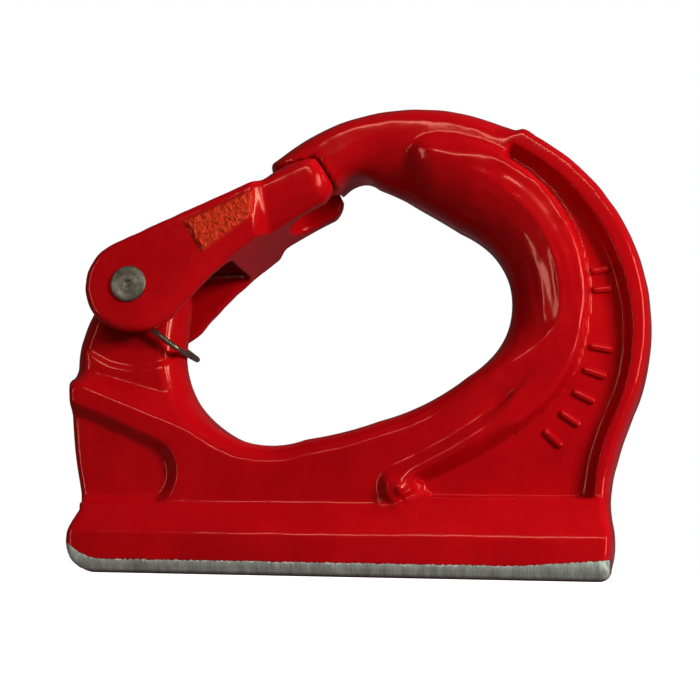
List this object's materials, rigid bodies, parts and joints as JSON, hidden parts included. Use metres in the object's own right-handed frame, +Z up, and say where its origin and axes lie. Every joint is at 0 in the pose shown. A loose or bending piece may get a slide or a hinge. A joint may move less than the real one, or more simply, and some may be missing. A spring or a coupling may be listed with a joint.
{
  "type": "weld-on lifting hook",
  "caption": "Forged weld-on lifting hook with a long weld foot, a closed eye and a forked spring latch that opens inwards.",
  "frame": {"origin": "centre of the weld face, the flat underside of the foot", "axes": "+X along the foot towards the bar of the hook, +Z up from the weld face, +Y across the hook, with the latch pin along Y"},
  "size_m": [0.1464, 0.035, 0.121],
  "materials": {
    "red_enamel": "gloss",
    "latch_enamel": "gloss",
    "pin_steel": "satin",
    "spring_steel": "satin"
  },
  "bodies": {
    "hook": {"hook_body": "red_enamel", "latch_pin": "pin_steel", "latch_spring": "spring_steel"},
    "latch": {"latch": "latch_enamel"}
  },
  "joints": [
    {"name": "latch_hinge", "type": "hinge", "parent": "hook", "child": "latch", "pos_m": [-0.0538, 0, 0.0725], "axis": [0, 1, 0], "range_deg": [0, 65], "stiffness_Nm_per_rad": 0.15, "springref_deg": -45.84, "deforming": ["latch_spring"]}
  ]
}
